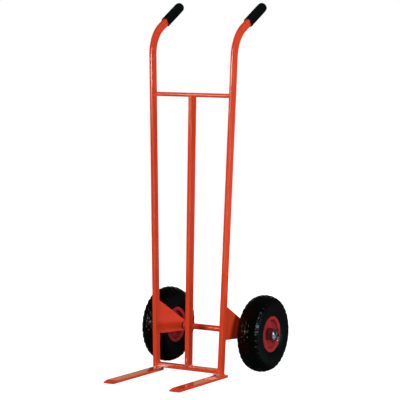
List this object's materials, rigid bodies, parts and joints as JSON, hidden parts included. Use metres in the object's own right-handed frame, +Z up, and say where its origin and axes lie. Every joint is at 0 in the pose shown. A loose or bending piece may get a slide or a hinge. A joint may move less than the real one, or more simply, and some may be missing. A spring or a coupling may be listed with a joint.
{
  "type": "crate hand truck",
  "caption": "Upright hand truck for stacked crates: welded tube frame with backswept grips, flat lifting prongs and pneumatic wheels on one axle.",
  "frame": {"origin": "on the floor, at the middle of the whole truck's width and depth", "axes": "+Z up; -Y towards the load, along the prongs; +Y towards the user; X across, along the axle"},
  "size_m": [0.4772, 0.602, 1.239],
  "materials": {
    "frame_paint": "gloss",
    "rim_paint": "gloss",
    "tyre": "matte",
    "inner_tube": "matte",
    "grip": "satin",
    "zinc": "zinc plated",
    "bearing_steel": "ground",
    "seal": "matte",
    "black_steel": "satin",
    "valve_metal": "nickel plated",
    "valve_cap": "matte"
  },
  "bodies": {
    "frame": {"axle": "frame_paint", "centre_upright": "frame_paint", "left_axle_bracket": "frame_paint", "left_axle_cap": "zinc", "left_axle_spacer": "frame_paint", "left_bearing_inner_rings": "bearing_steel", "left_grip": "grip", "left_inner_washer": "zinc", "left_outer_washer": "black_steel", "left_prong": "frame_paint", "left_retaining_ring": "black_steel", "left_upright": "frame_paint", "lower_crossbar": "frame_paint", "right_axle_bracket": "frame_paint", "right_axle_cap": "zinc", "right_axle_spacer": "frame_paint", "right_bearing_inner_rings": "bearing_steel", "right_grip": "grip", "right_inner_washer": "zinc", "right_outer_washer": "black_steel", "right_prong": "frame_paint", "right_retaining_ring": "black_steel", "right_upright": "frame_paint", "upper_crossbar": "frame_paint"},
    "left_wheel": {"left_bearing_balls": "bearing_steel", "left_bearing_outer_rings": "bearing_steel", "left_bearing_seals": "seal", "left_hub_tube": "rim_paint", "left_inner_tube": "inner_tube", "left_rim_inner_half": "rim_paint", "left_rim_outer_half": "rim_paint", "left_tyre": "tyre", "left_valve_cap": "valve_cap", "left_valve_stem": "valve_metal"},
    "right_wheel": {"right_bearing_balls": "bearing_steel", "right_bearing_outer_rings": "bearing_steel", "right_bearing_seals": "seal", "right_hub_tube": "rim_paint", "right_inner_tube": "inner_tube", "right_rim_inner_half": "rim_paint", "right_rim_outer_half": "rim_paint", "right_tyre": "tyre", "right_valve_cap": "valve_cap", "right_valve_stem": "valve_metal"}
  },
  "joints": [
    {"name": "left_wheel_spin", "type": "hinge", "parent": "frame", "child": "left_wheel", "pos_m": [-0.18746, 0.171, 0.13], "axis": [1, 0, 0], "continuous": true},
    {"name": "right_wheel_spin", "type": "hinge", "parent": "frame", "child": "right_wheel", "pos_m": [0.18746, 0.171, 0.13], "axis": [1, 0, 0], "continuous": true}
  ]
}
